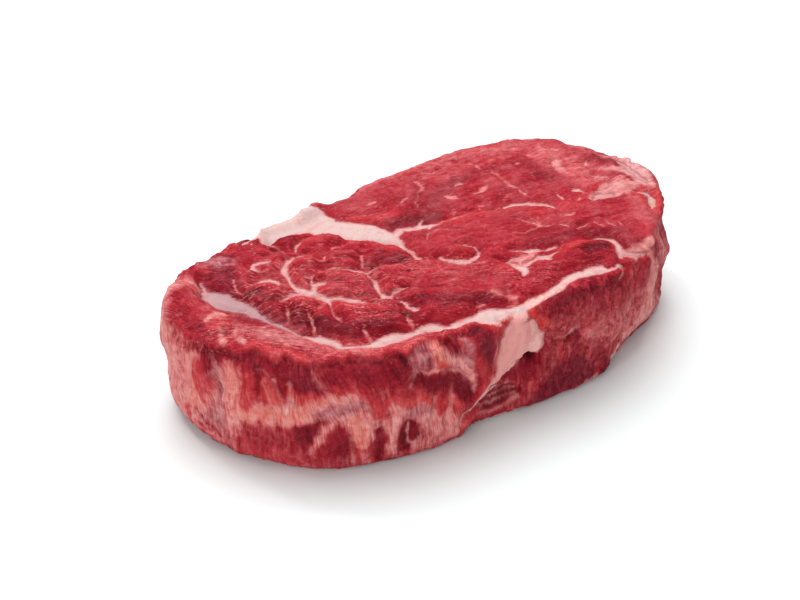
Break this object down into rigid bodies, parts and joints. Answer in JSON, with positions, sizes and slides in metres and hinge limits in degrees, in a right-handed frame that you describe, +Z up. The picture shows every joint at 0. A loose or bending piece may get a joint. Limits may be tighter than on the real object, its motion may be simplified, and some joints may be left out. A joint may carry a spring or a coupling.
{
  "type": "raw beef steak",
  "caption": "Thick boneless slice of raw beef lying on its cut face, with domed muscles, sunken fat seams, a soft rounded rim and a folded, swelling side wall.",
  "frame": {"origin": "on the resting plane, under the middle of the bounding box", "axes": "+Z up out of the upper cut face, +X along the length towards the narrow end, +Y towards the far side"},
  "size_m": [0.156, 0.0852, 0.0378],
  "materials": {
    "meat": null
  },
  "bodies": {
    "root": {"steak": "meat"}
  },
  "joints": []
}
